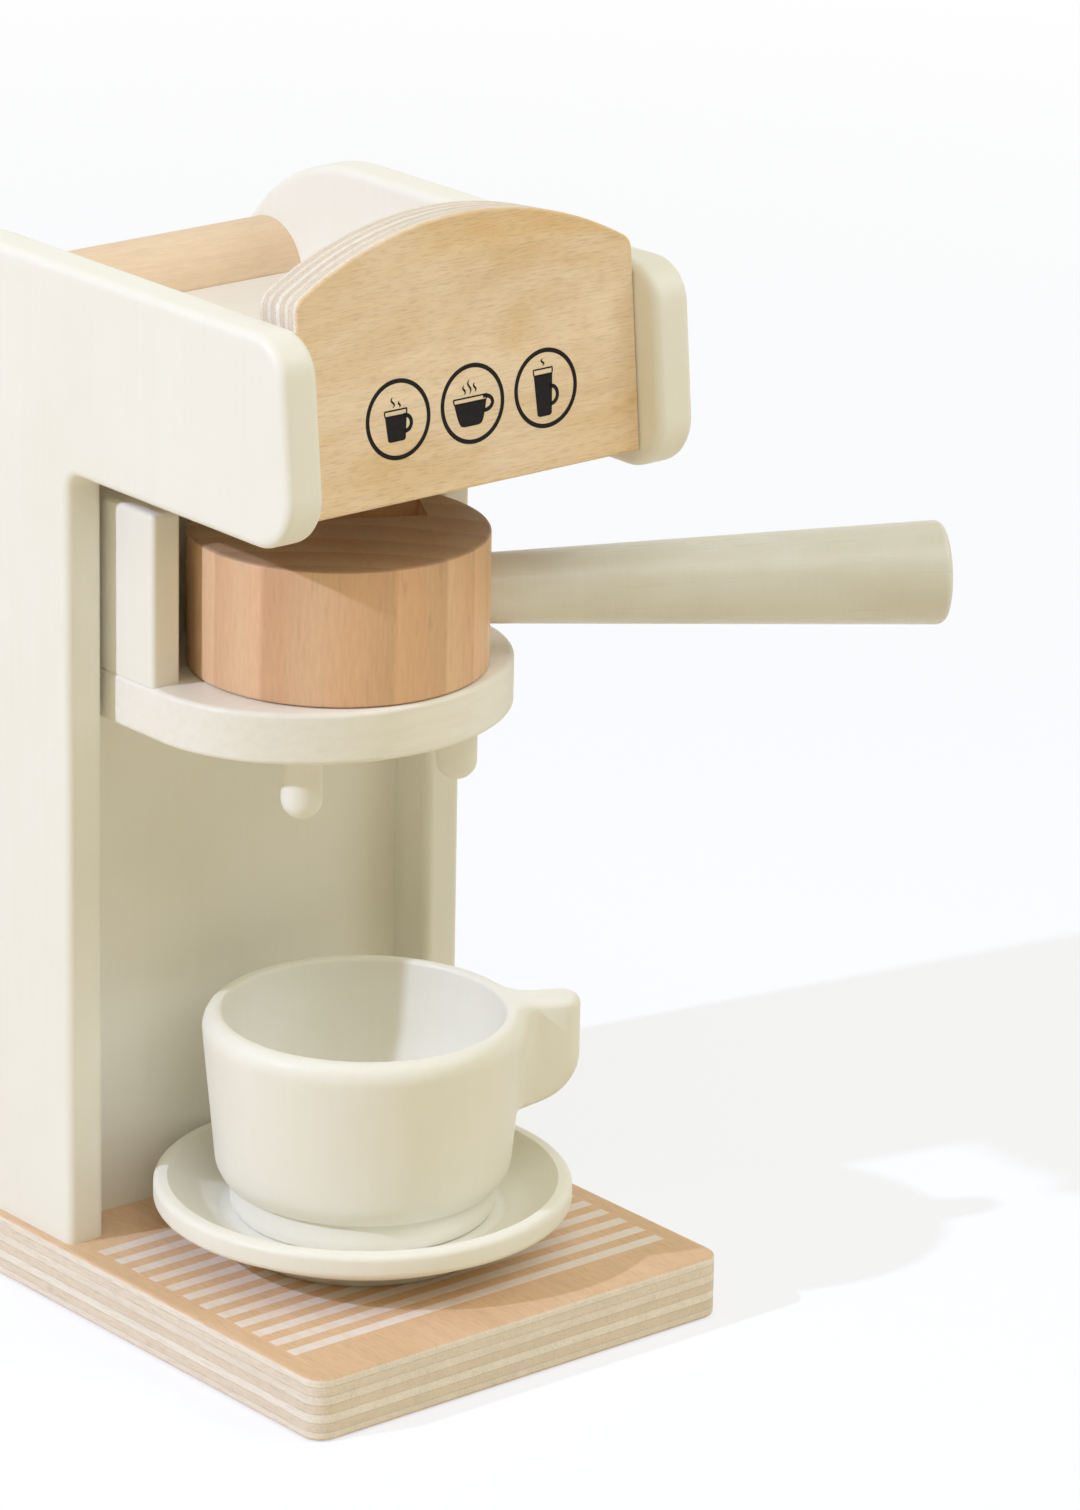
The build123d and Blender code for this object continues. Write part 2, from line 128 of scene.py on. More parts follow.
def material(name, group, values, bump=1.0, specular=0.5, turn=(0, 0, 0), shift=(0, 0, 0)):
    """A finish: one Principled shader fed by a shared effect. The effect reads the piece's own
    coordinates, turned and then shifted; bump is the depth of its relief in tenths of a mm."""
    made = bpy.data.materials.new(name)
    made.use_nodes = True
    tree = made.node_tree
    tree.nodes.clear()
    place = add(tree, "ShaderNodeTexCoord").outputs["Object"]
    place = add(tree, "ShaderNodeMapping", {
        "Vector": place, "Location": shift, "Rotation": turn}, vector_type="POINT").outputs[0]
    effect = add(tree, "ShaderNodeGroup", {"Coordinates": place, **values}, node_tree=group)
    relief = add(tree, "ShaderNodeBump", {
        "Height": effect.outputs["Height"], "Strength": 1.0, "Distance": 0.1 * mm * bump})
    surface = add(tree, "ShaderNodeBsdfPrincipled", {
        "Base Color": effect.outputs["Colour"], "Roughness": effect.outputs["Roughness"],
        "Normal": relief.outputs[0], "Specular IOR Level": specular})
    add(tree, "ShaderNodeOutputMaterial", {"Surface": surface.outputs[0]})
    return made


def wear(piece, finish):
    """Gives a piece its one finish."""
    if piece.material_slots:
        for slot in piece.material_slots:
            slot.material = finish
    else:
        piece.data.materials.append(finish)


def make_plywood():
    """Plywood, solid through its plies. Z of the coordinates is the depth through the board.
    Each ply's grain runs across its neighbours', and a dark glue line lies between two plies.
    Both faces, skin deep, have the varnished face's colour, with pale clouds and wavy streaks."""
    group, given = effect_group("plywood", {
        "Ply": 1.5 * mm, "Thickness": 12 * mm, "Face": rgb(222, 188, 150),
        "Pale face": rgb(228, 196, 162), "Light ply": rgb(244, 232, 217),
        "Dark ply": rgb(226, 204, 178), "Fleck": 0.24})
    place = given["Coordinates"]
    depth = add(group, "ShaderNodeSeparateXYZ", {0: place}).outputs["Z"]
    wave = noise(group, place, 16, detail=1.0)
    ply_wave = 0.25 * mm
    depth = calculate(group, "MULTIPLY_ADD", wave, ply_wave, depth)
    plies = calculate(group, "DIVIDE", depth, given["Ply"])
    number = calculate(group, "FLOOR", plies)
    inside = calculate(group, "FRACT", plies)
    crossed = calculate(group, "PINGPONG", number, 1.0)
    tone = add(group, "ShaderNodeTexWhiteNoise", {"W": number}, noise_dimensions="1D")
    tone = calculate(group, "MULTIPLY", tone.outputs["Value"], 0.35)
    tone = calculate(group, "MULTIPLY_ADD", crossed, 0.65, tone)
    along_x = noise(group, place, 620, (0.045, 1, 1), detail=4.0, roughness=0.62)
    along_y = noise(group, place, 620, (1, 0.045, 1), detail=4.0, roughness=0.62)
    grain = add(group, "ShaderNodeMix", {"Factor": crossed, 2: along_x, 3: along_y},
                data_type="FLOAT").outputs[0]
    core = blend(group, tone, given["Light ply"], given["Dark ply"])
    behind = calculate(group, "SUBTRACT", given["Thickness"], depth)
    outer = calculate(group, "MINIMUM", depth, calculate(group, "ADD", behind, ply_wave))
    outer = remap(group, outer, 0.3 * mm, 0.9 * mm, 1.0, 0.0, smooth=True)
    cloud = noise(group, place, 30, (0.4, 1, 1), detail=5.0, roughness=0.65, distortion=0.6)
    face = blend(group, remap(group, cloud, 0.38, 0.62), given["Face"], given["Pale face"])
    colour = blend(group, outer, core, face)
    streak = noise(group, place, 190, (0.07, 1, 1), detail=3.0, roughness=0.6, distortion=0.4)
    colour = shade(group, colour, remap(group, streak, 0.3, 0.7, 0.955, 1.035))
    colour = shade(group, colour, remap(group, grain, 0.3, 0.7, 0.96, 1.035))
    dash = noise(group, place, 2300, (0.11, 1, 1), detail=3.0, roughness=0.6)
    dash = calculate(group, "MULTIPLY", remap(group, dash, 0.48, 0.72), given["Fleck"])
    colour = blend(group, dash, colour, rgb(176, 140, 100), "MULTIPLY")
    edge = calculate(group, "ABSOLUTE", calculate(group, "SUBTRACT", inside, 0.5))
    glue = remap(group, edge, 0.40, 0.5, 1.0, 0.80, smooth=True)
    colour = shade(group, colour, calculate(group, "MAXIMUM", glue, outer))
    height = calculate(group, "MULTIPLY_ADD", dash, -0.3, calculate(group, "MULTIPLY", grain, 0.6))
    put_out(group, colour, remap(group, grain, 0.3, 0.7, 0.62, 0.5), height)
    return group


plywood = make_plywood()
base_thickness = 15 * mm
base_plywood = material("base plywood", plywood, {
    "Ply": 2.15 * mm, "Thickness": base_thickness, "Face": rgb(220, 184, 146),
    "Pale face": rgb(226, 192, 158), "Light ply": rgb(246, 238, 228),
    "Dark ply": rgb(231, 215, 197)}, turn=(0, pi, pi / 2), shift=(0, 0, base_thickness))
wear(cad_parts["base"], base_plywood)


# ------------------------------------------------------------ Printed stripes
# Whitish lines screen-printed across the base in front of the columns, where a drip grille
# would be. The ink is thin, so a little of the wood's tone comes through.

def skin(rings, ends=("flat", "flat"), closed=False):
    """A closed skin over a stack of rings. rings is an array of ring by step by xyz, and each
    ring is a loop. Quads lie between neighbours, and between the last and the first ring when
    closed. An end is flat, one face over its ring, or point, a fan to its middle."""
    count, steps = rings.shape[:2]
    verts = rings.reshape(-1, 3)
    here = np.arange(steps)
    next_step = np.roll(here, -1)
    low = np.arange(count if closed else count - 1)[:, None] * steps
    high = (low + steps) % (count * steps)
    faces = np.stack([low + here, low + next_step, high + next_step, high + here], -1)
    faces = faces.reshape(-1, 4).tolist()
    for end, start in () if closed else zip(ends, (0, (count - 1) * steps)):
        if end == "flat":
            faces.append((start + here).tolist())
        else:
            middle = verts[start:start + steps].mean(0, keepdims=True)
            fan = np.stack([start + here, start + next_step, np.full(steps, len(verts))], -1)
            verts = np.concatenate([verts, middle])
            faces += fan.tolist()
    return verts, faces


def piece(name, skins, crease=32):
    """One object from closed skins: outward faces, smooth except across edges above the crease."""
    starts = np.cumsum([0] + [len(verts) for verts, _ in skins])
    faces = [[index + int(start) for index in face]
             for (_, part), start in zip(skins, starts) for face in part]
    mesh = bpy.data.meshes.new(name)
    mesh.from_pydata(np.concatenate([verts for verts, _ in skins]).tolist(), [], faces)
    work = bmesh.new()
    work.from_mesh(mesh)
    bmesh.ops.recalc_face_normals(work, faces=work.faces)
    work.to_mesh(mesh)
    work.free()
    mesh.shade_smooth()
    mesh.set_sharp_from_angle(angle=radians(crease))
    made = bpy.data.objects.new(name, mesh)
    bpy.context.scene.collection.objects.link(made)
    return made


def print_band(left, right, origin, across, up, out, closed=False):
    """A printed shape between two lines drawn in a face's plane, as a film a few hundredths thick.
    Each cross-section is a flat box: left and right points, each once proud and once sunk."""
    proud, sunk = 0.04 * mm, -0.06 * mm
    rings = [origin + line[:, :1] * across + line[:, 1:] * up + height * out
             for line, height in ((left, sunk), (left, proud), (right, proud), (right, sunk))]
    return skin(np.stack(rings, 1), closed=closed)


axis_x, axis_y, axis_z = np.eye(3)
base_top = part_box("base")[1].z
wall_setback = 12 * mm
column_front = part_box("inner_wall")[0].y - wall_setback
stripe_half_length = 54 * mm
stripe_width = 3.1 * mm
stripe_pitch = 6.4 * mm
stripe_margin = 8 * mm
stripe_first = column_front - stripe_margin
stripe_count = 12
stripes = []
for number in range(stripe_count):
    middle = stripe_first - number * stripe_pitch
    ends = np.array([[-stripe_half_length, middle], [stripe_half_length, middle]])
    half = np.array([[0, stripe_width / 2]])
    stripes.append(print_band(ends + half, ends - half, axis_z * base_top, axis_x, axis_y, axis_z))
stripes = piece("base_stripes", stripes)


white = rgb(255, 255, 255)


def make_ink():
    """Printing ink: an even film with a slightly uneven density."""
    group, given = effect_group("printed ink", {"Ink": white, "Ground": white, "Thin": 0.2})
    cloud = noise(group, given["Coordinates"], 700, (1, 0.2, 1), detail=3.0)
    bare = calculate(group, "MULTIPLY", remap(group, cloud, 0.35, 0.75), given["Thin"])
    colour = blend(group, bare, given["Ink"], given["Ground"])
    put_out(group, colour, remap(group, cloud, 0.3, 0.7, 0.6, 0.45), cloud)
    return group


ink = make_ink()
white_ink = material("white ink", ink, {
    "Ink": rgb(232, 222, 216), "Ground": rgb(222, 188, 152), "Thin": 0.35}, bump=0.05)
wear(stripes, white_ink)
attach(stripes, "stand")


# --------------------------------------------------------------- Side panels
# Two 10 mm boards sawn as a figure 7: a column, and a head that reaches forward over the cup.
# Every long edge is rounded over, and the boards are sprayed in satin cream.

def unit_circle(angles):
    """Points of the unit circle at those angles: (cos, sin)."""
    return np.stack([np.cos(angles), np.sin(angles)], -1)


def outline(corners):
    """A closed outline through corners (a, b, radius), with its outward normals.
    A corner's arc has its centre one radius inside both edges; a bare corner gets its mitre."""
    places = np.array([corner[:2] for corner in corners], float)
    points, normals = [], []
    for index, (a, b, radius) in enumerate(corners):
        here = places[index]
        arrive = here - places[index - 1]
        leave = places[(index + 1) % len(corners)] - here
        arrive, leave = arrive / np.linalg.norm(arrive), leave / np.linalg.norm(leave)
        first = np.array([arrive[1], -arrive[0]])
        turn = np.arctan2(arrive[0] * leave[1] - arrive[1] * leave[0], arrive @ leave)
        if radius == 0:
            last = np.array([leave[1], -leave[0]])
            points.append(here[None])
            normals.append(((first + last) / (1 + first @ last))[None])
            continue
        side = np.sign(turn)
        centre = here - arrive * radius * tan(abs(turn) / 2) - side * radius * first
        steps = max(5, int(abs(turn) * (radius / mm) ** 0.5 * 4))
        angles = np.arctan2(first[1], first[0]) + np.linspace(0, turn, steps)
        points.append(centre + side * radius * unit_circle(angles))
        normals.append(unit_circle(angles))
    return np.concatenate(points), np.concatenate(normals)


def board(name, points, normals, thickness, radius, origin, axes):
    """A board with that outline and its two rims rounded. A rim's ring at an angle t from the
    face is inset by r(1 - sin t) and lies r(1 - cos t) deep; flat rings hold both faces flat."""
    turns = np.linspace(0, pi / 2, 7)
    hold = min(0.25 * mm, radius / 3)
    inset = np.concatenate([[radius + hold], radius * (1 - np.sin(turns)), [0.0]])
    depth = np.concatenate([[0.0], radius * (1 - np.cos(turns)), [radius + hold]])
    inset = np.concatenate([inset, inset[::-1]])
    depth = np.concatenate([depth, thickness - depth[::-1]])
    flat = points[None] - inset[:, None, None] * normals[None]
    a, b, c = axes
    rings = origin + flat[..., :1] * a + flat[..., 1:] * b + depth[:, None, None] * c
    return piece(name, [skin(rings)])


def make_paint():
    """Satin paint sprayed on wood: a faint cloudiness, the wood's grain just telegraphing
    through along Z, and a fine spray texture."""
    group, given = effect_group("satin paint", {
        "Paint": white, "Under": white, "Cloud": 0.3, "Streak": 0.3, "Gloss": 0.42})
    place = given["Coordinates"]
    cloud = noise(group, place, 22, detail=3.0, roughness=0.6)
    streak = noise(group, place, 520, (1, 1, 0.05), detail=3.0, roughness=0.6)
    spray = noise(group, place, 1500, detail=2.0)
    thin = calculate(group, "MULTIPLY", remap(group, cloud, 0.35, 0.7), given["Cloud"])
    grainy = calculate(group, "MULTIPLY", remap(group, streak, 0.42, 0.75), given["Streak"])
    bare = calculate(group, "ADD", thin, grainy, clamp=True)
    colour = blend(group, bare, given["Paint"], given["Under"])
    rough = calculate(group, "ADD", given["Gloss"], remap(group, spray, 0.3, 0.7, -0.05, 0.05))
    height = calculate(group, "MULTIPLY", spray, 0.3)
    height = calculate(group, "MULTIPLY_ADD", streak, 0.35, height)
    height = calculate(group, "MULTIPLY_ADD", cloud, 1.2, height)
    put_out(group, colour, rough, height)
    return group


satin_paint = make_paint()
cream_paint = material("cream paint", satin_paint, {
    "Paint": rgb(244, 242, 234), "Under": rgb(236, 230, 214), "Cloud": 0.3, "Streak": 0.14,
    "Gloss": 0.42}, bump=0.25)
side_thickness = 10 * mm
side_low, side_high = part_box("right_side")
column_rear = side_high.y
crown = side_high.z
head_reach = 80.9 * mm
head_underside = base_top + 184.8 * mm
lean = radians(5.44)
head_front = column_front - head_reach
inner_corner, chin_corner, brow_corner, rear_corner = 4 * mm, 12 * mm, 10 * mm, 49.4 * mm
side_corners = [
    (column_front, base_top, 0), (column_front, head_underside, inner_corner),
    (head_front, head_underside, chin_corner),
    (head_front + tan(lean) * (crown - head_underside), crown, brow_corner),
    (column_rear, crown, rear_corner), (column_rear, base_top, 0)]
side_points, side_normals = outline(side_corners[::-1])
at_base = np.isclose(side_points[:, 1], base_top)
side_normals[at_base] = np.sign(side_normals[at_base]) * np.array([1, 0])
side_edge_round = 2 * mm
for side, x in (("left", -side_high.x), ("right", side_low.x)):
    panel = board("side_panel_" + side, side_points, side_normals, side_thickness, side_edge_round,
                  axis_x * x, (axis_y, axis_z, axis_x))
    wear(panel, cream_paint)
    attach(panel, "stand")
    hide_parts(side + "_side")


# ---------------------------------------------------- Inner wall and tray board
# Painted boards between the side panels: the wall stands a little behind the columns' front,
# and the tray lies on top behind the arched panel. Both are pinned and glued.

wear(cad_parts["inner_wall"], cream_paint)
# The grain of paint and of solid wood runs along Z; this turn lays it along X.
grain_along_x = (0, pi / 2, 0)
# The tray is cream like the sides. Its paint is that cream made darker and warmer: painted shade
# and painted warm bounce light.
tray_paint_with_painted_shade = material("tray paint with painted shade", satin_paint, {
    "Paint": rgb(235, 228, 219), "Under": rgb(225, 214, 200), "Cloud": 0.35, "Streak": 0.3,
    "Gloss": 0.45}, bump=0.25, turn=grain_along_x)
wear(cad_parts["top_board"], tray_paint_with_painted_shade)


# ---------------------------------------------------------------- Rear rail
# A 25 mm birch dowel between the side panels, behind the tray. It is sanded and varnished,
# and its grain runs along it.

def turned(profile, origin, along, start, steps=96):
    """A turned shape: a profile of radius and height swept once round an axis through origin.
    At an angle t the point is origin + height * along + radius * (cos t * start + sin t *
    other), where other is square to both."""
    other = np.cross(along, start)
    angles = np.linspace(0, 2 * pi, steps, endpoint=False)
    spokes = np.cos(angles)[:, None] * start + np.sin(angles)[:, None] * other
    rings = origin + profile[:, 1, None, None] * along + profile[:, 0, None, None] * spokes
    return skin(rings, ("point", "point"))


def rounded_profile(corners):
    """A lathe profile through corners (radius, height, rounding), from the axis and back to it:
    the section's outline, closed by two corners behind the axis that are then dropped."""
    behind = -1 * mm
    points, _ = outline([*corners, (behind, corners[-1][1], 0), (behind, corners[0][1], 0)])
    return points[:-2]


def make_solid_wood():
    """Solid wood. Rings lie round a far axis along Z, bent a little by noise; fibres and short
    dark rays run along Z, so an end shows arcs and a side shows straight bands. Past the height
    of the sawn end the wood is darker: partly the open pores drinking the varnish, partly painted
    shade for a top that lies in shadow."""
    never = 9.0
    group, given = effect_group("solid wood", {
        "Early": white, "Late": white, "Ring": 3 * mm, "Fleck": 0.2, "Contrast": 0.5,
        "Gloss": 0.55, "Rosy": 0.3, "Sawn end": never, "End grain and shade tone": 0.8})
    place = given["Coordinates"]
    flat = add(group, "ShaderNodeVectorMath", {0: place, 1: (1, 1, 0)}, operation="MULTIPLY")
    span = add(group, "ShaderNodeVectorMath", {0: flat.outputs[0]}, operation="LENGTH")
    bend = noise(group, place, 14, (1, 1, 0.25), detail=2.0)
    span = calculate(group, "MULTIPLY_ADD", bend, 7 * mm, span.outputs["Value"])
    uneven = noise(group, place, 60, (1, 1, 0.05), detail=1.0)
    span = calculate(group, "MULTIPLY_ADD", uneven, 2 * mm, span)
    # A year's wood darkens outwards, and then drops back to the pale of the next one.
    year = calculate(group, "FRACT", calculate(group, "DIVIDE", span, given["Ring"]))
    band = calculate(group, "MULTIPLY", calculate(group, "POWER", year, 0.9),
                     remap(group, year, 0.93, 1.0, 1.0, 0.0))
    strength = noise(group, place, 40, (1, 1, 0.1), detail=1.0)
    band = calculate(group, "MULTIPLY", band, remap(group, strength, 0.3, 0.7, 0.6, 1.0))
    band = calculate(group, "MULTIPLY", band, given["Contrast"])
    broad = noise(group, place, 38, (1, 1, 0.06), detail=2.0)
    tone = calculate(group, "MULTIPLY_ADD", remap(group, broad, 0.32, 0.68), 0.25, band)
    colour = blend(group, remap(group, tone, 0.0, 1.0), given["Early"], given["Late"])
    rosy = noise(group, place, 95, (1, 1, 0.08), detail=2.0)
    rosy = calculate(group, "MULTIPLY", remap(group, rosy, 0.42, 0.62), given["Rosy"])
    colour = blend(group, rosy, colour, (1.0, 0.93, 0.90, 1), "MULTIPLY")
    fibre = noise(group, place, 1300, (1, 1, 0.14), detail=3.0, roughness=0.65)
    colour = shade(group, colour, remap(group, fibre, 0.3, 0.7, 0.945, 1.05))
    along = add(group, "ShaderNodeSeparateXYZ", {0: place}).outputs["Z"]
    # Darker past the sawn end: partly end grain that drinks the varnish, partly painted shade.
    end_grain_and_painted_shade = remap(group, calculate(group, "SUBTRACT", along, given["Sawn end"]), -0.3 * mm, 0.0)
    colour = blend(group, end_grain_and_painted_shade, colour, shade(group, colour, given["End grain and shade tone"]))
    ray = remap(group, noise(group, place, 800, (1, 1, 0.12), detail=1.0), 0.64, 0.74)
    ray = calculate(group, "MULTIPLY", ray, given["Fleck"])
    colour = shade(group, colour, calculate(group, "SUBTRACT", 1.0, ray))
    rough = calculate(group, "ADD", given["Gloss"], remap(group, fibre, 0.3, 0.7, 0.05, -0.05))
    height = calculate(group, "SUBTRACT", calculate(group, "MULTIPLY", fibre, 0.6), ray)
    put_out(group, colour, rough, height)
    return group


solid_wood = make_solid_wood()
rail_wood = material("rail birch", solid_wood, {
    "Early": rgb(236, 212, 183), "Late": rgb(222, 192, 158), "Ring": 3.4 * mm, "Fleck": 0.05,
    "Contrast": 0.35}, bump=0.3, turn=grain_along_x, shift=(0.19, 0.02, 0))
rail_low, rail_high = (np.array(corner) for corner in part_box("rear_rail"))
rail_radius = (rail_high[2] - rail_low[2]) / 2
rail_length = rail_high[0] - rail_low[0]
rail_start = np.array([rail_low[0], *((rail_low + rail_high) / 2)[1:]])
rail_edge = 0.3 * mm
rail_profile = rounded_profile([
    (0, 0, 0), (rail_radius, 0, rail_edge), (rail_radius, rail_length, rail_edge),
    (0, rail_length, 0)])
rail = piece("rear_rail_dowel", [turned(rail_profile, rail_start, axis_x, axis_y)])
wear(rail, rail_wood)
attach(rail, "stand")
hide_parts("rear_rail")


# ------------------------------------------------------------- Arched front panel
# A 13 mm birch plywood board sawn to a shallow arch. It leans back with the heads, between
# the side panels, and its bare ply edge shows along the arch.

panel_thickness = 13.2 * mm
panel_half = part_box("front_panel")[1].x
panel_setback = 7.2 * mm
panel_edge_round = 0.8 * mm
panel_up = np.array([0, sin(lean), cos(lean)])
panel_out = np.array([0, -cos(lean), sin(lean)])
# The board's lowest edge is its rear one, because it leans; its face starts higher up.
face_z = base_top + 189.6 * mm
face_y = head_front + panel_setback + tan(lean) * (face_z - head_underside)
panel_origin = np.array([0, face_y, face_z])
panel_peak = 60.6 * mm / cos(lean)
arch_radius = 91 * mm
arch_shoulder = 4 * mm


def arched_outline(half, peak, radius, shoulder):
    """A straight bottom and sides under an arc whose centre lies on the middle line. Each
    shoulder is an arc that touches the side and, from inside, the arch."""
    middle = peak - radius
    x = half - shoulder
    y = middle + ((radius - shoulder) ** 2 - x ** 2) ** 0.5
    meet = np.arctan2(y - middle, x)
    small = np.linspace(0, meet, 9)
    arch = np.linspace(meet, pi - meet, 90)[1:-1]
    right_way, top_way = unit_circle(small), unit_circle(arch)
    right = right_way * shoulder + [x, y]
    top = top_way * radius + [0, middle]
    points = np.concatenate([[[half, 0]], right, top, (right * [-1, 1])[::-1], [[-half, 0]]])
    normals = np.concatenate([
        [[1, -1]], right_way, top_way, (right_way * [-1, 1])[::-1], [[-1, -1]]])
    return points, normals


panel_points, panel_normals = arched_outline(panel_half, panel_peak, arch_radius, arch_shoulder)
front_panel = board("arched_front_panel", panel_points, panel_normals, panel_thickness,
                    panel_edge_round, panel_origin, (axis_x, panel_up, -panel_out))
# In the panel's own coordinates X is across, Y up the slope and Z the depth from its face.
panel_turn = Matrix((axis_x, panel_up, -panel_out))
# The sheet was cut where its veneer is palest in the middle, so the grain is slid along X.
veneer_slide = Vector((0.55, 0, 0))
panel_plywood = material("panel plywood", plywood, {
    "Ply": 1.47 * mm, "Thickness": panel_thickness, "Face": rgb(232, 197, 148),
    "Pale face": rgb(248, 226, 199), "Light ply": rgb(241, 234, 224),
    "Dark ply": rgb(224, 206, 184), "Fleck": 0.3},
    turn=panel_turn.to_euler(), shift=veneer_slide - panel_turn @ Vector(panel_origin))
wear(front_panel, panel_plywood)
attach(front_panel, "stand")
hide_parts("front_panel")


# ---------------------------------------------------------------- Printed badges
# Three drink badges printed in black-brown ink on the panel: a mug, a wide cup and a tall
# glass, each with a handle and steam, in a ring. The ink film is a few hundredths thick.

def stroke(path, width, taper=0.0, closed=False):
    """A pen stroke: the path plus and minus half the width along its normal. With a taper the
    width falls towards both ends as a power of sin."""
    ahead = np.gradient(path, axis=0) if not closed else np.roll(path, -1, 0) - np.roll(path, 1, 0)
    normal = np.stack([ahead[:, 1], -ahead[:, 0]], 1)
    normal /= np.linalg.norm(normal, axis=1, keepdims=True)
    share = np.linspace(0.04, 0.96, len(path))[:, None]
    half = width / 2 * np.sin(pi * share) ** taper
    return path + half * normal, path - half * normal


def arc(centre, reach, start, end, steps):
    """Part of a circle or an ellipse between two angles in degrees: the centre plus (cos, sin)
    times the reach, which is one radius or two."""
    angles = np.radians(np.linspace(start, end, steps, endpoint=abs(end - start) < 360))
    return unit_circle(angles) * reach + centre


def steam(x, y, height, swing):
    """A wisp of steam: a sine wave that climbs, x + swing * sin of one whole turn."""
    climb = np.linspace(0, 1, 24)
    return np.stack([x + swing * np.sin(2 * pi * climb), y + height * climb], 1)


def vessel(top_half, foot_half, height, belly, steps=40):
    """Left and right lines of a cup, from its foot up. The half width grows from the foot's to
    the top's with the height to the power belly, and the foot's corners are quarter circles."""
    foot_round = 0.6 * mm
    rise = np.linspace(0, 1, steps)
    soft = np.clip(rise * height / foot_round, 0, 1)
    half = foot_half + (top_half - foot_half) * rise ** belly
    half = half - foot_round * (1 - np.sqrt(1 - (1 - soft) ** 2))
    return np.stack([-half, rise * height], 1), np.stack([half, rise * height], 1)


def badge(name, x, low, drink, belly, ear, wisps):
    """One badge, with its ring's centre at x across the panel; all but the belly is in mm. The
    drink stands at low, has half widths at its top and foot and a height, and is filled up to a
    light band under its rim. Its ear has a middle height, a reach and a half height, and each
    wisp of steam a foot (x, y), a height and a swing."""
    place = dict(origin=panel_origin + x * mm * axis_x + badge_rise * panel_up,
                 across=axis_x, up=panel_up, out=panel_out)
    top_half, foot_half, height = np.array(drink) * mm
    left, right = vessel(top_half, foot_half, height, belly)
    filled = int(len(left) * (1 - light_band / height))
    rim = np.concatenate([left[filled - 1:], right[filled - 1:][::-1]])
    ear_height, ear_reach, ear_half = np.array(ear) * mm
    ear_root = np.interp(ear_height, right[:, 1], right[:, 0]) - 0.35 * mm
    ear_line = arc((ear_root, ear_height), (ear_reach, ear_half), 100, -100, 30)
    foot = np.array([[-0.6 * mm, low * mm]])
    ring = arc((0, 0), badge_radius, 0, 360, 120)
    skins = [
        print_band(*stroke(ring, 1.0 * mm, closed=True), closed=True, **place),
        print_band(left[:filled] + foot, right[:filled] + foot, **place),
        print_band(*stroke(rim + foot, 0.34 * mm, closed=True), closed=True, **place),
        print_band(*stroke(ear_line + foot, 0.9 * mm), **place)]
    skins += [print_band(*stroke(steam(*(np.array(wisp) * mm)), 0.46 * mm, taper=0.7), **place)
              for wisp in wisps]
    made = piece(name, skins)
    wear(made, black_ink)
    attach(made, "stand")
    return made


black_ink = material("black ink", ink, {
    "Ink": rgb(15, 10, 8), "Ground": rgb(48, 33, 25), "Thin": 0.1}, bump=0.05, specular=0.2)
badge_rise = 18.6 * mm
badge_radius = 8.42 * mm
light_band = 1.1 * mm
badge("mug_badge", -20.9, -4.8, (3.1, 2.4, 6.9), 1.0, (3.7, 1.75, 1.75),
      [(-1.3, 2.7, 2.3, 0.4), (0.5, 2.6, 1.3, 0.22)])
badge("cup_badge", -0.2, -4.9, (4.7, 2.4, 6.4), 0.5, (4.5, 2.2, 1.6),
      [(-2.2, 2.3, 2.0, 0.3), (-0.7, 2.3, 3.1, 0.38), (0.8, 2.5, 2.0, 0.3)])
badge("glass_badge", 20.5, -6.2, (2.7, 2.0, 10.6), 1.0, (4.5, 1.9, 2.0),
      [(-0.6, 5.1, 1.5, 0.35)])


# ------------------------------------------------------------- Shelf and spouts
# A D-shaped board pinned to the inner wall, where the portafilter stands. Two dowels with
# round ends are glued into its underside as spouts. All of it is painted cream.

shelf_low, shelf_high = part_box("shelf")
shelf_half = shelf_high.x
flank_length = 18.8 * mm
flank_y = column_front - flank_length
nose = flank_y - shelf_low.y
# The nose is half an ellipse, and its normal is (cos / half width, sin / nose) made one long.
sweep = unit_circle(np.linspace(pi, 2 * pi, 90))
nose_normals = sweep / [shelf_half, nose]
nose_normals /= np.linalg.norm(nose_normals, axis=1, keepdims=True)
shelf_points = np.concatenate([
    sweep * [shelf_half, nose] + [0, flank_y],
    [[shelf_half, shelf_high.y], [-shelf_half, shelf_high.y]]])
shelf_normals = np.concatenate([nose_normals, [[1, 0], [-1, 0]]])
shelf_thickness = shelf_high.z - shelf_low.z
shelf_edge_round = 1.2 * mm
shelf = board("shelf_board", shelf_points, shelf_normals, shelf_thickness, shelf_edge_round,
              axis_z * shelf_low.z, (axis_x, axis_y, axis_z))
shelf_paint = material("shelf paint", satin_paint, {
    "Paint": rgb(244, 241, 233), "Under": rgb(234, 228, 214), "Cloud": 0.4, "Streak": 0.4,
    "Gloss": 0.45}, bump=0.35, turn=grain_along_x)
wear(shelf, shelf_paint)
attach(shelf, "stand")
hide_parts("shelf")

for side in ("left", "right"):
    spout_low, spout_high = (np.array(corner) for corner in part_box(side + "_spout"))
    radius = (spout_high[0] - spout_low[0]) / 2
    tip = np.array([*((spout_low + spout_high) / 2)[:2], spout_low[2]])
    fall = np.linspace(0, pi / 2, 14)
    dome = np.stack([radius * np.sin(fall), radius * (1 - np.cos(fall))], 1)
    spout_profile = np.concatenate([dome[1:], [[radius, spout_high[2] - spout_low[2]]]])
    spout = piece("spout_" + side, [turned(spout_profile, tip, axis_z, axis_x, 48)])
    wear(spout, cream_paint)
    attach(spout, "stand")
    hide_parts(side + "_spout")


# ---------------------------------------------------------------- Guide plates
# Two small upright boards pinned to the shelf, one each side of the portafilter's block.
# Their free edges are rounded over, and they are painted cream.

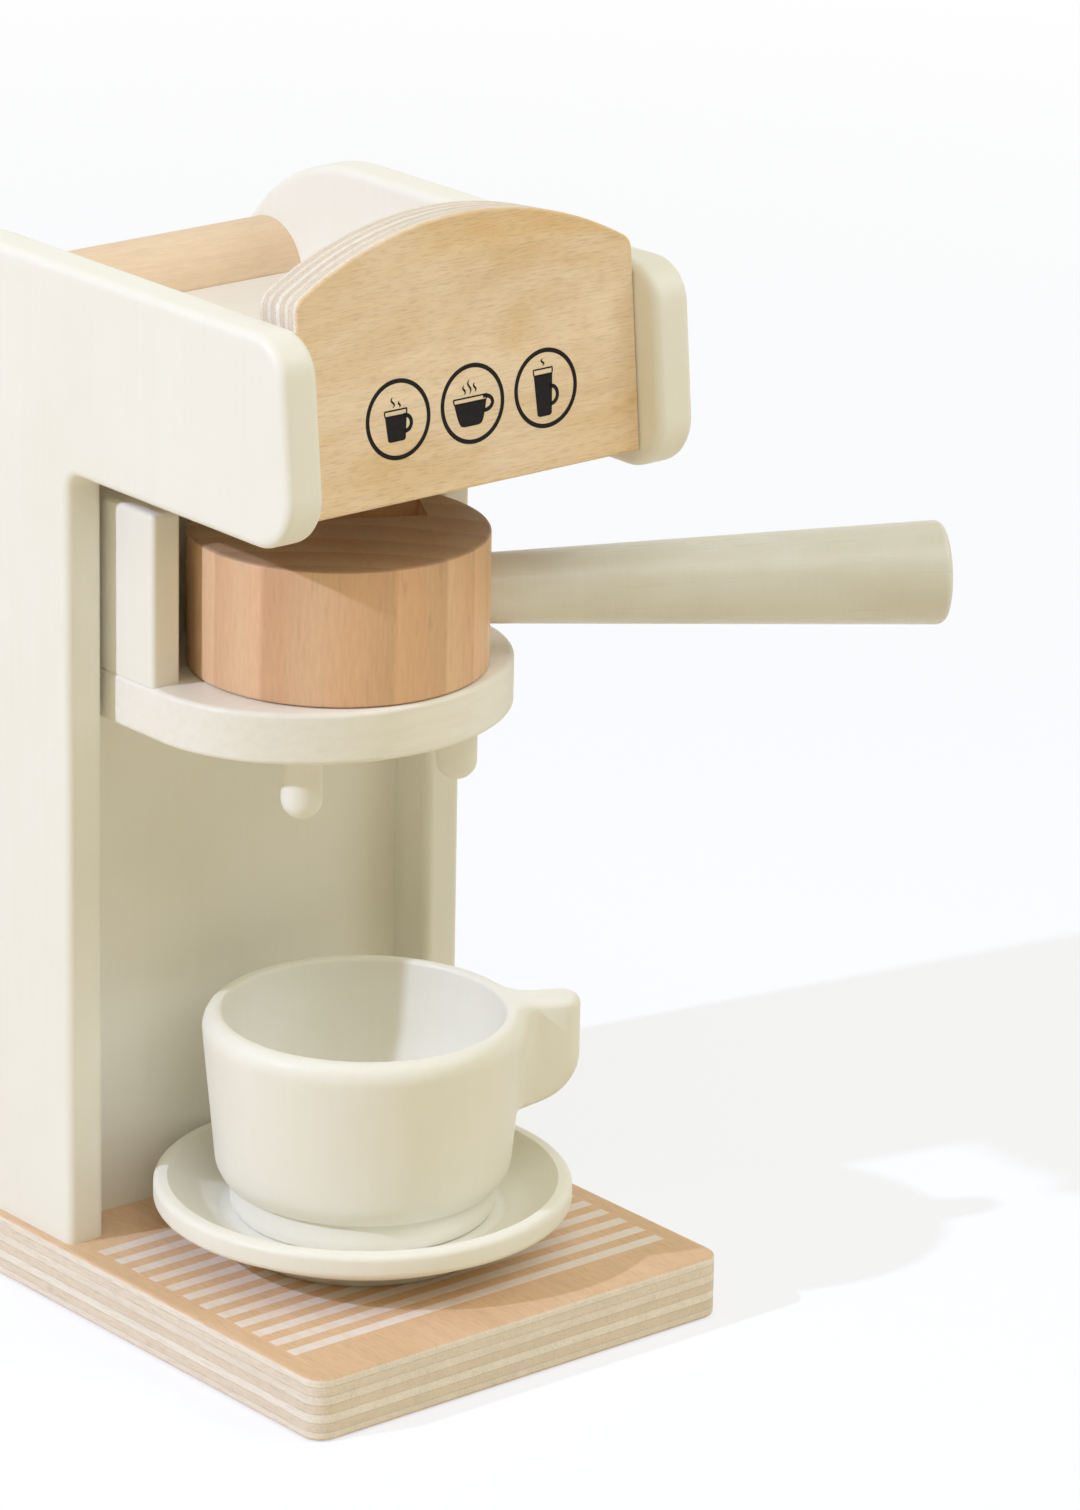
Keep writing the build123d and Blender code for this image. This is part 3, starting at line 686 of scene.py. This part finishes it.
rear_round, front_round, guide_edge_round = 2.2 * mm, 1.7 * mm, 1.2 * mm
for side in ("left", "right"):
    low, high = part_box(side + "_guide")
    points, normals = outline([(low.y, low.z, 0), (high.y, low.z, 0), (high.y, high.z, rear_round),
                               (low.y, high.z, front_round)])
    on_seat = np.isclose(points[:, 1], low.z)
    normals[on_seat] = np.sign(normals[on_seat]) * np.array([1, 0])
    at_wall = np.isclose(points[:, 0], high.y)
    upper = points[at_wall][:, 1] > low.z + mm
    normals[at_wall] = np.stack([np.zeros(2), np.where(upper, 1, 0)], 1)
    guide = board("guide_plate_" + side, points, normals, high.x - low.x, guide_edge_round,
                  axis_x * low.x, (axis_y, axis_z, axis_x))
    wear(guide, cream_paint)
    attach(guide, "stand")
    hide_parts(side + "_guide")


# --------------------------------------------------------------- Pins and screws
# Beech dowel pins, glued into both boards at every joint, and countersunk steel screws up
# through the base. They are the CAD pieces themselves; only the screws' heads can be seen.

pin_wood = material("pin beech", solid_wood, {
    "Early": rgb(222, 190, 150), "Late": rgb(200, 164, 122), "Ring": 2 * mm, "Fleck": 0.2,
    "Contrast": 0.4}, bump=0.3, turn=grain_along_x, shift=(0.1, 0, 0))
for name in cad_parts:
    if name.endswith("_pins"):
        wear(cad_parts[name], pin_wood)


def make_steel():
    """Zinc-plated steel: pale grey with fine turning marks and a cloudy sheen."""
    group, given = effect_group("plated steel", {})
    fine = noise(group, given["Coordinates"], 1800, detail=3.0)
    cloud = noise(group, given["Coordinates"], 300, detail=2.0)
    colour = blend(group, cloud, rgb(176, 178, 182), rgb(205, 205, 204))
    put_out(group, colour, remap(group, fine, 0.3, 0.7, 0.25, 0.45), fine)
    return group


screw_steel = material("screw steel", make_steel(), {}, bump=0.1)
screw_steel.node_tree.nodes["Principled BSDF"].inputs["Metallic"].default_value = 1.0
wear(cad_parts["base_screws"], screw_steel)


# -------------------------------------------------------------- Portafilter block
# A thick disc turned from beech, with a slot cut in its top for a wooden tablet. It is only
# varnished: growth rings arc over its top, and straight grain runs down its side. The broad
# bands on its side are placed to paint light on its left and shade in its middle, and its top
# is darkened, partly as end grain and partly as painted shade.

swing = radians(-30)
block_low, block_high = (np.array(corner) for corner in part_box("portafilter_block"))
block_radius = (block_high[0] - block_low[0]) / 2
block_centre = np.array([0, (block_low[1] + block_high[1]) / 2, block_low[2]])
block_height = block_high[2] - block_low[2]
along_handle = np.array([cos(swing), sin(swing), 0])
beside_handle = np.array([-sin(swing), cos(swing), 0])


def stand_up(rings, origin, along, beside):
    """Rings drawn about their own upright axis, put in place: origin + x * along + y * beside
    + z * up."""
    return origin + rings[..., :1] * along + rings[..., 1:2] * beside + rings[..., 2:] * axis_z


def slotted_disc(radius, height, edge, slot, depth, shift):
    """A disc with a rectangular slot in its top, shift from its middle. Every ring has the same
    steps, each at an angle t seen from the slot's middle. Outside, rings follow the disc's
    profile. The top runs straight from the circle to the slot's rim, which lies at one over
    the larger of |cos t| / half length and |sin t| / half width, and two rings go down it."""
    half = np.array(slot) / 2
    corner = np.arctan2(half[1], half[0])
    stops = np.array([-corner, corner, pi - corner, pi + corner, 2 * pi - corner])
    angles = np.concatenate([np.linspace(a, b, steps, endpoint=False)
                             for a, b, steps in zip(stops[:-1], stops[1:], (20, 80, 20, 80))])
    spokes = unit_circle(angles)
    rim = spokes * (1 / np.max(np.abs(spokes) / half, axis=1, keepdims=True))
    middle = np.array([0, shift])
    start = radius - edge
    far = (start ** 2 - shift ** 2 + (spokes @ middle) ** 2) ** 0.5 - spokes @ middle
    round_way = (middle + far[:, None] * spokes) / start
    bend = np.linspace(0, pi / 2, 5)
    profile = np.concatenate([
        np.stack([start + edge * np.sin(bend), edge * (1 - np.cos(bend))], 1),
        np.stack([start + edge * np.cos(bend), height - edge + edge * np.sin(bend)], 1)])
    share = np.linspace(0, 1, 8)[1:, None, None]
    plans = np.concatenate([
        profile[:, 0, None, None] * round_way,
        start * round_way + share * (rim + middle - start * round_way),
        [rim + middle, rim + middle]])
    levels = np.concatenate([
        profile[:, 1], np.full(len(share), height), [height - depth * 0.5, height - depth]])
    levels = np.broadcast_to(levels[:, None, None], (len(levels), len(spokes), 1))
    return np.concatenate([plans, levels], 2)


block_edge = 0.8 * mm
slot_size = 42 * mm, 14 * mm
slot_depth = 10 * mm
slot_shift = 12.5 * mm
disc = slotted_disc(block_radius, block_height, block_edge, slot_size, slot_depth, slot_shift)
block = piece("turned_block", [skin(stand_up(disc, block_centre, along_handle, beside_handle),
                                    ("point", "point"))])
# The rings' axis is moved to 135 mm from the block's own, so they cross its top as arcs. It
# also puts a pale band on the block's lit left side and a dark band in its middle, where the
# light turns away: painted light and shade in the grain.
ring_shift_for_painted_light = (0.0939, 0.1156, 0)
block_wood_with_painted_light = material("block beech with painted light and shade", solid_wood, {
    "Early": rgb(239, 200, 161), "Late": rgb(186, 140, 101), "Ring": 10 * mm, "Fleck": 0.1,
    "Contrast": 0.45, "Gloss": 0.55, "Rosy": 1.0, "Sawn end": block_high[2] - 0.3 * mm,
    "End grain and shade tone": 0.63}, bump=0.3, shift=ring_shift_for_painted_light)
wear(block, block_wood_with_painted_light)
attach(block, "portafilter")
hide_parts("portafilter_block")


# ------------------------------------------------------------- Portafilter handle
# A beech handle turned to a taper and glued into the block with a tenon. It is rubbed with
# a thin grey-cream paint, so turning marks and a little of the grain show.

seat_depth, tenon_length, handle_length = 1.6 * mm, 13 * mm, 105.1 * mm
seat = block_radius - seat_depth
tenon_end = seat - tenon_length
handle_end = block_radius + handle_length
tenon_radius, neck_radius, butt_radius = 4 * mm, 8 * mm, 12 * mm
butt_round = 2 * mm
handle_profile = rounded_profile([
    (0, tenon_end, 0), (tenon_radius, tenon_end, 0), (tenon_radius, seat, 0),
    (neck_radius, seat, 0), (butt_radius, handle_end, butt_round), (0, handle_end, 0)])
handle_axis = block_centre + axis_z * block_height / 2
handle = piece("turned_handle", [turned(handle_profile, handle_axis, along_handle, beside_handle)])


def make_rubbed_paint():
    """Thin paint on turned wood: fine rings round the axis X, long faint streaks along it, and
    cloudy places where the paint lies thicker. Where ring marks meet thick patches the colour is
    lifted a little, as painted glints."""
    group, given = effect_group("rubbed paint", {"Thick": white, "Thin": white})
    place = given["Coordinates"]
    marks = noise(group, place, 1500, (1, 0.06, 0.06), detail=3.0, roughness=0.6)
    patches = noise(group, place, 70, (0.5, 1, 1), detail=3.0, roughness=0.6)
    streaks = noise(group, place, 420, (0.05, 1, 1), detail=3.0, roughness=0.6)
    mixed = calculate(group, "MULTIPLY", patches, 0.8)
    mixed = calculate(group, "MULTIPLY_ADD", marks, 0.2, mixed)
    mixed = calculate(group, "MULTIPLY_ADD", streaks, 0.1, mixed)
    colour = blend(group, remap(group, mixed, 0.45, 0.75), given["Thick"], given["Thin"])
    # Painted glints: the colour is lifted by up to 6 % where turning marks and thick patches meet.
    light = remap(group, calculate(group, "MULTIPLY", marks, patches), 0.34, 0.48, 1.0, 1.06)
    put_out(group, shade(group, colour, light), remap(group, streaks, 0.35, 0.65, 0.26, 0.46),
            calculate(group, "MULTIPLY_ADD", marks, 0.3, streaks))
    return group


handle_paint = material("handle paint", make_rubbed_paint(), {
    "Thick": rgb(230, 228, 221), "Thin": rgb(221, 216, 203)}, bump=0.5, turn=(0, 0, -swing))
wear(handle, handle_paint)
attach(handle, "portafilter")
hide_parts("portafilter_handle")


# ------------------------------------------------------------------------ Saucer
# A saucer turned in one piece: broad foot, flared underside, upright rim and a dished top
# with a flat well for the cup. It is sprayed in the cup's cream and stands loose on the base.

def curve(points, steps):
    """A smooth line through points: a natural parameter by chord length, and a cubic through
    each stretch whose slopes are those of its neighbours' chord."""
    points = np.array(points, float)
    gaps = np.linalg.norm(np.diff(points, axis=0), axis=1)
    knots = np.concatenate([[0], np.cumsum(gaps)])
    slopes = np.gradient(points, knots, axis=0)
    at = np.linspace(0, knots[-1], steps)
    index = np.clip(np.searchsorted(knots, at, side="right") - 1, 0, len(gaps) - 1)
    width = gaps[index][:, None]
    t = ((at - knots[index]) / gaps[index])[:, None]
    return (points[index] * (2 * t ** 3 - 3 * t ** 2 + 1)
            + points[index + 1] * (3 * t ** 2 - 2 * t ** 3)
            + slopes[index] * width * (t ** 3 - 2 * t ** 2 + t)
            + slopes[index + 1] * width * (t ** 3 - t ** 2))


saucer_low, saucer_high = (np.array(corner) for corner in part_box("saucer"))
saucer_middle = (saucer_low + saucer_high) / 2
saucer_foot = np.array([saucer_middle[0], saucer_middle[1], saucer_low[2]])
edge = (saucer_high[0] - saucer_low[0]) / 2
saucer_height = saucer_high[2] - saucer_low[2]
foot = 29.3 * mm
rim_low = saucer_height - 5.9 * mm
well_floor = saucer_height - 7.5 * mm
well = 32.7 * mm
rim_round = 1.6 * mm
underside = curve([(foot + 1.5 * mm, rim_low * 0.25), (foot + 0.58 * (edge - foot), rim_low * 0.66),
                   (edge - rim_round * 1.05, rim_low - 0.2 * mm)], 24)
dish = curve([(edge - 2 * rim_round, saucer_height), (edge - 5.6 * mm, saucer_height - 2.1 * mm),
              (edge - 10 * mm, saucer_height - 5.2 * mm), (well, well_floor)], 30)
saucer_profile = np.concatenate([
    [[foot - 0.5 * mm, 0], [foot, 0.4 * mm]], underside,
    arc((edge - rim_round, rim_low + rim_round), rim_round, -70, 0, 7),
    arc((edge - rim_round, saucer_height - rim_round), rim_round, 0, 90, 7), dish,
    [[well - 1.5 * mm, well_floor], [well * 0.5, well_floor]]])
saucer = piece("turned_saucer", [turned(saucer_profile, saucer_foot, axis_z, axis_x, 160)])
cup_paint = material("cup paint", satin_paint, {
    "Paint": rgb(243, 241, 232), "Under": rgb(235, 230, 214), "Cloud": 0.35, "Streak": 0.15,
    "Gloss": 0.44}, bump=0.3, specular=0.35)
wear(saucer, cup_paint)
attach(saucer, "saucer")
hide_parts("saucer")


# --------------------------------------------------------------------------- Cup
# A cup turned from one block on a foot ring, with a flat fin left on as its handle and
# carved into the wall with a soft fillet. It is sprayed cream and stands loose on the saucer.

cup_height = 48.1 * mm
rim_radius = 37.5 * mm
body_taper = 3.4 * mm
waist_radius = rim_radius - body_taper
waist_height = 12.6 * mm
bowl_radius = rim_radius - 5.2 * mm
bowl_floor = 11 * mm
rim_roll = np.array([3.1, 4.5]) * mm
fin_roll = np.array([2.2, 2.2]) * mm
lip = 1.0 * mm
fin_half = 4.9 * mm
fin_reach = 50.9 * mm
fin_root = 4.5 * mm
fin_turn = radians(-25)
fin_rise = tan(radians(18))
fin_low = cup_height - 27.6 * mm
fin_corner = fin_low + fin_rise * (fin_reach - waist_radius)


def fin_flank(angles, wall):
    """How far the fin's flank reaches at each angle from its middle, with no end: the hollow
    fillet at its root, which is the near side of a circle, then the straight side, half the
    fin's thickness over sin of the angle. Past the fillet it is the round wall."""
    a = np.maximum(np.abs(angles), 1e-4)
    root_y = fin_half + fin_root
    root_x = np.sqrt((wall + fin_root) ** 2 - root_y ** 2)
    near = root_x * np.cos(a) + root_y * np.sin(a)
    inside = near ** 2 - root_x ** 2 - root_y ** 2 + fin_root ** 2
    hollow = near - np.sqrt(np.maximum(inside, 0))
    reach = np.where(a < np.arctan2(fin_half, root_x), fin_half / np.sin(a), hollow)
    return np.where(a >= np.arctan2(root_y, root_x), wall, reach)


def fin_end(angles, reach):
    """How far a bar as thick as the fin, with a half-round end, reaches at each angle. Beside
    the bar the limit is the straight line where its round end begins."""
    middle = reach - fin_half
    a = np.minimum(np.abs(angles), 1.2)
    inside = fin_half ** 2 - (middle * np.sin(a)) ** 2
    on_round = middle * np.cos(a) + np.sqrt(np.maximum(inside, 0))
    return np.where(np.tan(a) < fin_half / middle, on_round, middle / np.cos(a))


def cup_side(angles, heights):
    """Radius of the cup's outside: the tapered wall, and the fin that stands out from it by
    the power mean of what its flank and its end allow, which rounds the edges between them."""
    wall = waist_radius + body_taper * (heights - waist_height) / (cup_height - waist_height)
    side_view, _ = outline([
        (waist_radius, waist_height, 0), (waist_radius, fin_low, 3 * mm),
        (fin_reach, fin_corner, 11 * mm), (fin_reach, cup_height, 0), (0, cup_height, 0),
        (0, waist_height, 0)])
    reach = np.interp(heights, side_view[:-2, 1], side_view[:-2, 0])
    flank = np.maximum(fin_flank(angles, wall) - wall, 1e-9)
    ahead = np.maximum(fin_end(angles, reach) - wall, 1e-9)
    return wall + flank * ahead / (flank ** 6 + ahead ** 6) ** (1 / 6)


def around(radii, heights, angles):
    """Rings of points from radii and heights, each given by ring and by angle."""
    radii, heights = np.broadcast_arrays(radii, heights, np.zeros((1, len(angles))))[:2]
    return np.concatenate([radii[..., None] * unit_circle(angles), heights[..., None]], -1)


def cup_rings(angles):
    """The whole cup as rings from its foot, over the wall and rim and down to the bowl's floor.
    The top edge is rolled over inwards along a quarter of an ellipse, tighter on the fin."""
    levels = np.concatenate([
        np.linspace(waist_height, fin_low - 0.5 * mm, 5)[1:],
        np.linspace(fin_low, fin_corner + 8 * mm, 30),
        np.linspace(fin_corner + 9 * mm, cup_height - rim_roll[1] - mm, 5)])[:, None]
    on_fin = np.clip((0.30 - np.abs(angles)) / 0.16, 0, 1)[:, None]
    roll = rim_roll + (fin_roll - rim_roll) * on_fin ** 2 * (3 - 2 * on_fin)
    crest = around(cup_side(angles, cup_height - roll[:, 1]), cup_height - roll[:, 1], angles)[0]
    ahead = np.roll(crest, -1, 0)[:, :2] - np.roll(crest, 1, 0)[:, :2]
    inward = np.stack([-ahead[:, 1], ahead[:, 0]], 1)
    inward /= np.linalg.norm(ahead, axis=1, keepdims=True)
    turns = np.linspace(0, pi / 2, 9)[:, None, None]
    rolled = np.concatenate([
        crest[:, :2] + roll[:, :1] * (1 - np.cos(turns)) * inward,
        np.broadcast_to(cup_height - roll[:, 1:] * (1 - np.sin(turns)), (9, len(angles), 1))], 2)
    shoulder = curve([(31.7 * mm, 7.6 * mm), (32.9 * mm, 9.3 * mm), (33.8 * mm, 11.2 * mm),
                      (waist_radius, waist_height)], 12)
    foot_ring = np.array([(29.4, 0), (30.6, 1.6), (30.6, 3.5), (30.3, 7.0)]) * mm
    below = np.concatenate([foot_ring, shoulder])
    inside = np.concatenate([
        arc((bowl_radius + lip, cup_height - lip), lip, 90, 180, 6),
        curve([(bowl_radius, cup_height - lip), (bowl_radius - 0.3 * mm, 38 * mm),
               (bowl_radius * 0.964, cup_height * 0.55), (bowl_radius * 0.86, 15.4 * mm),
               (bowl_radius * 0.55, bowl_floor)], 34)[1:], [[bowl_radius * 0.25, bowl_floor]]])
    below = around(below[:, :1], below[:, 1:], angles)
    inside = around(inside[:, :1], inside[:, 1:], np.arctan2(rolled[-1, :, 1], rolled[-1, :, 0]))
    return np.concatenate([below, around(cup_side(angles, levels), levels, angles), rolled, inside])


# The angles follow the fin's plan: even steps round its end, its flank and its root fillet.
end_middle = fin_reach - fin_half
root_y = fin_half + fin_root
root_middle = np.array([((rim_radius + fin_root) ** 2 - root_y ** 2) ** 0.5, root_y])
round_end = np.array([end_middle, 0]) + fin_half * unit_circle(np.linspace(0, pi / 2, 15))
straight = np.stack([np.linspace(end_middle, root_middle[0], 7), np.full(7, fin_half)], 1)[1:-1]
fillet_end = np.arctan2(root_middle[1], root_middle[0]) - pi
fillet = root_middle + fin_root * unit_circle(np.linspace(-pi / 2, fillet_end, 12))
plan = np.concatenate([round_end, straight, fillet])
fine = np.arctan2(plan[:, 1], plan[:, 0])
coarse = np.linspace(fine[-1], 2 * pi - fine[-1], 170)[1:-1]
cup_angles = np.concatenate([-fine[::-1][:-1], fine, coarse])
cup_foot = np.array([saucer_foot[0], saucer_foot[1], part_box("cup")[0].z])
fin_along = np.array([cos(fin_turn), sin(fin_turn), 0])
fin_beside = np.array([-sin(fin_turn), cos(fin_turn), 0])
rings = stand_up(cup_rings(cup_angles), cup_foot, fin_along, fin_beside)
cup = piece("turned_cup", [skin(rings, ("point", "point"))], crease=50)
wear(cup, cup_paint)
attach(cup, "cup")
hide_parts("cup")


# -------------------------------------------------------- Floor, light and camera
# A pale floor that keeps the toy's shadow, a compact key lamp from the left and a little
# behind, two broad fills from the front and the right, and a pale room, a little warm.

def directly_seen(tree):
    """1 for a ray from the camera, from a gloss or through a clear piece, and 0 for the light
    that a surface spreads."""
    ray = add(tree, "ShaderNodeLightPath").outputs
    seen = calculate(tree, "MAXIMUM", ray["Is Camera Ray"], ray["Is Glossy Ray"])
    return calculate(tree, "MAXIMUM", seen, ray["Is Transmission Ray"])


def pale_floor():
    """Matt floor. Towards the toy it is a warm off-white; seen by the camera or in a gloss it
    is whiter, partly by its own light, which grows with the distance so that it stays even."""
    made = bpy.data.materials.new("floor white")
    made.use_nodes = True
    tree = made.node_tree
    tree.nodes.clear()
    place = add(tree, "ShaderNodeTexCoord").outputs["Object"]
    far = add(tree, "ShaderNodeVectorMath", {0: place}, operation="LENGTH").outputs["Value"]
    glow = remap(tree, far, 0.3, 2.5, 0.61, 0.82, smooth=True)
    warm = add(tree, "ShaderNodeBsdfDiffuse", {"Color": (0.76, 0.68, 0.52, 1)})
    plain = add(tree, "ShaderNodeBsdfDiffuse", {"Color": (0.39, 0.40, 0.46, 1)})
    shine = add(tree, "ShaderNodeEmission", {"Color": (0.98, 0.985, 1, 1), "Strength": glow})
    bright = add(tree, "ShaderNodeAddShader", {0: plain.outputs[0], 1: shine.outputs[0]})
    both = add(tree, "ShaderNodeMixShader", {
        0: directly_seen(tree), 1: warm.outputs[0], 2: bright.outputs[0]})
    add(tree, "ShaderNodeOutputMaterial", {"Surface": both.outputs[0]})
    return made


floor_radius, floor_thickness, floor_gap = 6.0, 0.02, 0.2 * mm
floor_reach = np.linspace(0, 1, 12)[1:, None] ** 2 * floor_radius
floor_turns = np.linspace(0, 2 * pi, 64, endpoint=False)
floor_rings = around(floor_reach, -floor_gap, floor_turns)
floor_rings = np.concatenate([floor_rings, floor_rings[::-1] - axis_z * floor_thickness])
floor = piece("floor", [skin(floor_rings, ("point", "point"))])
floor.data.materials.append(pale_floor())

world = bpy.data.worlds.new("pale room")
bpy.context.scene.world = world
world.use_nodes = True
tree = world.node_tree
tree.nodes.clear()
aim = add(tree, "ShaderNodeTexCoord").outputs["Generated"]
raised = add(tree, "ShaderNodeSeparateXYZ", {0: aim}).outputs["Z"]
raised = remap(tree, raised, 0.0, 0.8)
room_tint = blend(tree, raised, (1.0, 0.85, 0.46, 1), (1.0, 0.92, 0.58, 1))
room = add(tree, "ShaderNodeBackground", {
    "Color": room_tint, "Strength": remap(tree, raised, 0, 1, 0.26, 0.59)})
backdrop = add(tree, "ShaderNodeBackground", {"Color": (1, 1, 1, 1), "Strength": 1.0})
mixed = add(tree, "ShaderNodeMixShader", {
    0: directly_seen(tree), 1: room.outputs[0], 2: backdrop.outputs[0]})
add(tree, "ShaderNodeOutputWorld", {"Surface": mixed.outputs[0]})


def lamp(name, azimuth, elevation, distance, size, power, colour):
    """A round area lamp aimed at the toy's middle: target + distance * (cos azimuth * cos
    elevation, sin azimuth * cos elevation, sin elevation), in degrees from +X and the floor."""
    light = bpy.data.lights.new(name, "AREA")
    light.shape = "DISK"
    light.size = size
    light.energy = power
    light.color = colour
    target = Vector((0, 0, 0.12))
    turn, rise = radians(azimuth), radians(elevation)
    away = Vector((cos(turn) * cos(rise), sin(turn) * cos(rise), sin(rise)))
    made = bpy.data.objects.new(name, light)
    made.location = target + distance * away
    made.rotation_euler = away.to_track_quat("Z", "Y").to_euler()
    bpy.context.scene.collection.objects.link(made)


lamp("key", 167.3, 31.5, 2.6, 0.06, 30.6, (0.89, 1.0, 1.37))
lamp("front fill", 250, 58, 2.6, 1.8, 12.5, (0.95, 1.0, 1.08))
lamp("right fill", 320, 40, 2.6, 1.8, 17, (0.92, 1.0, 1.12))

view_turn, view_fall, view_roll = radians(40.193), radians(19.076), radians(1.103)
view_place = Vector((-0.91307, -1.17117, 0.63836))
forward = Vector((sin(view_turn) * cos(view_fall), cos(view_turn) * cos(view_fall),
                  -sin(view_fall)))
right = Vector((cos(view_turn), -sin(view_turn), 0))
up = right.cross(forward)
rolled_right = cos(view_roll) * right + sin(view_roll) * up
rolled_up = cos(view_roll) * up - sin(view_roll) * right
camera_data = bpy.data.cameras.new("camera")
camera_data.sensor_fit = "VERTICAL"
camera_data.sensor_height = 36
camera_data.lens = 163.56
camera_data.clip_end = 50
camera = bpy.data.objects.new("camera", camera_data)
view_axes = Matrix((rolled_right, rolled_up, -forward)).transposed()
camera.matrix_world = Matrix.Translation(view_place) @ view_axes.to_4x4()
bpy.context.scene.collection.objects.link(camera)
bpy.context.scene.camera = camera
bpy.context.scene.view_settings.view_transform = "Standard"
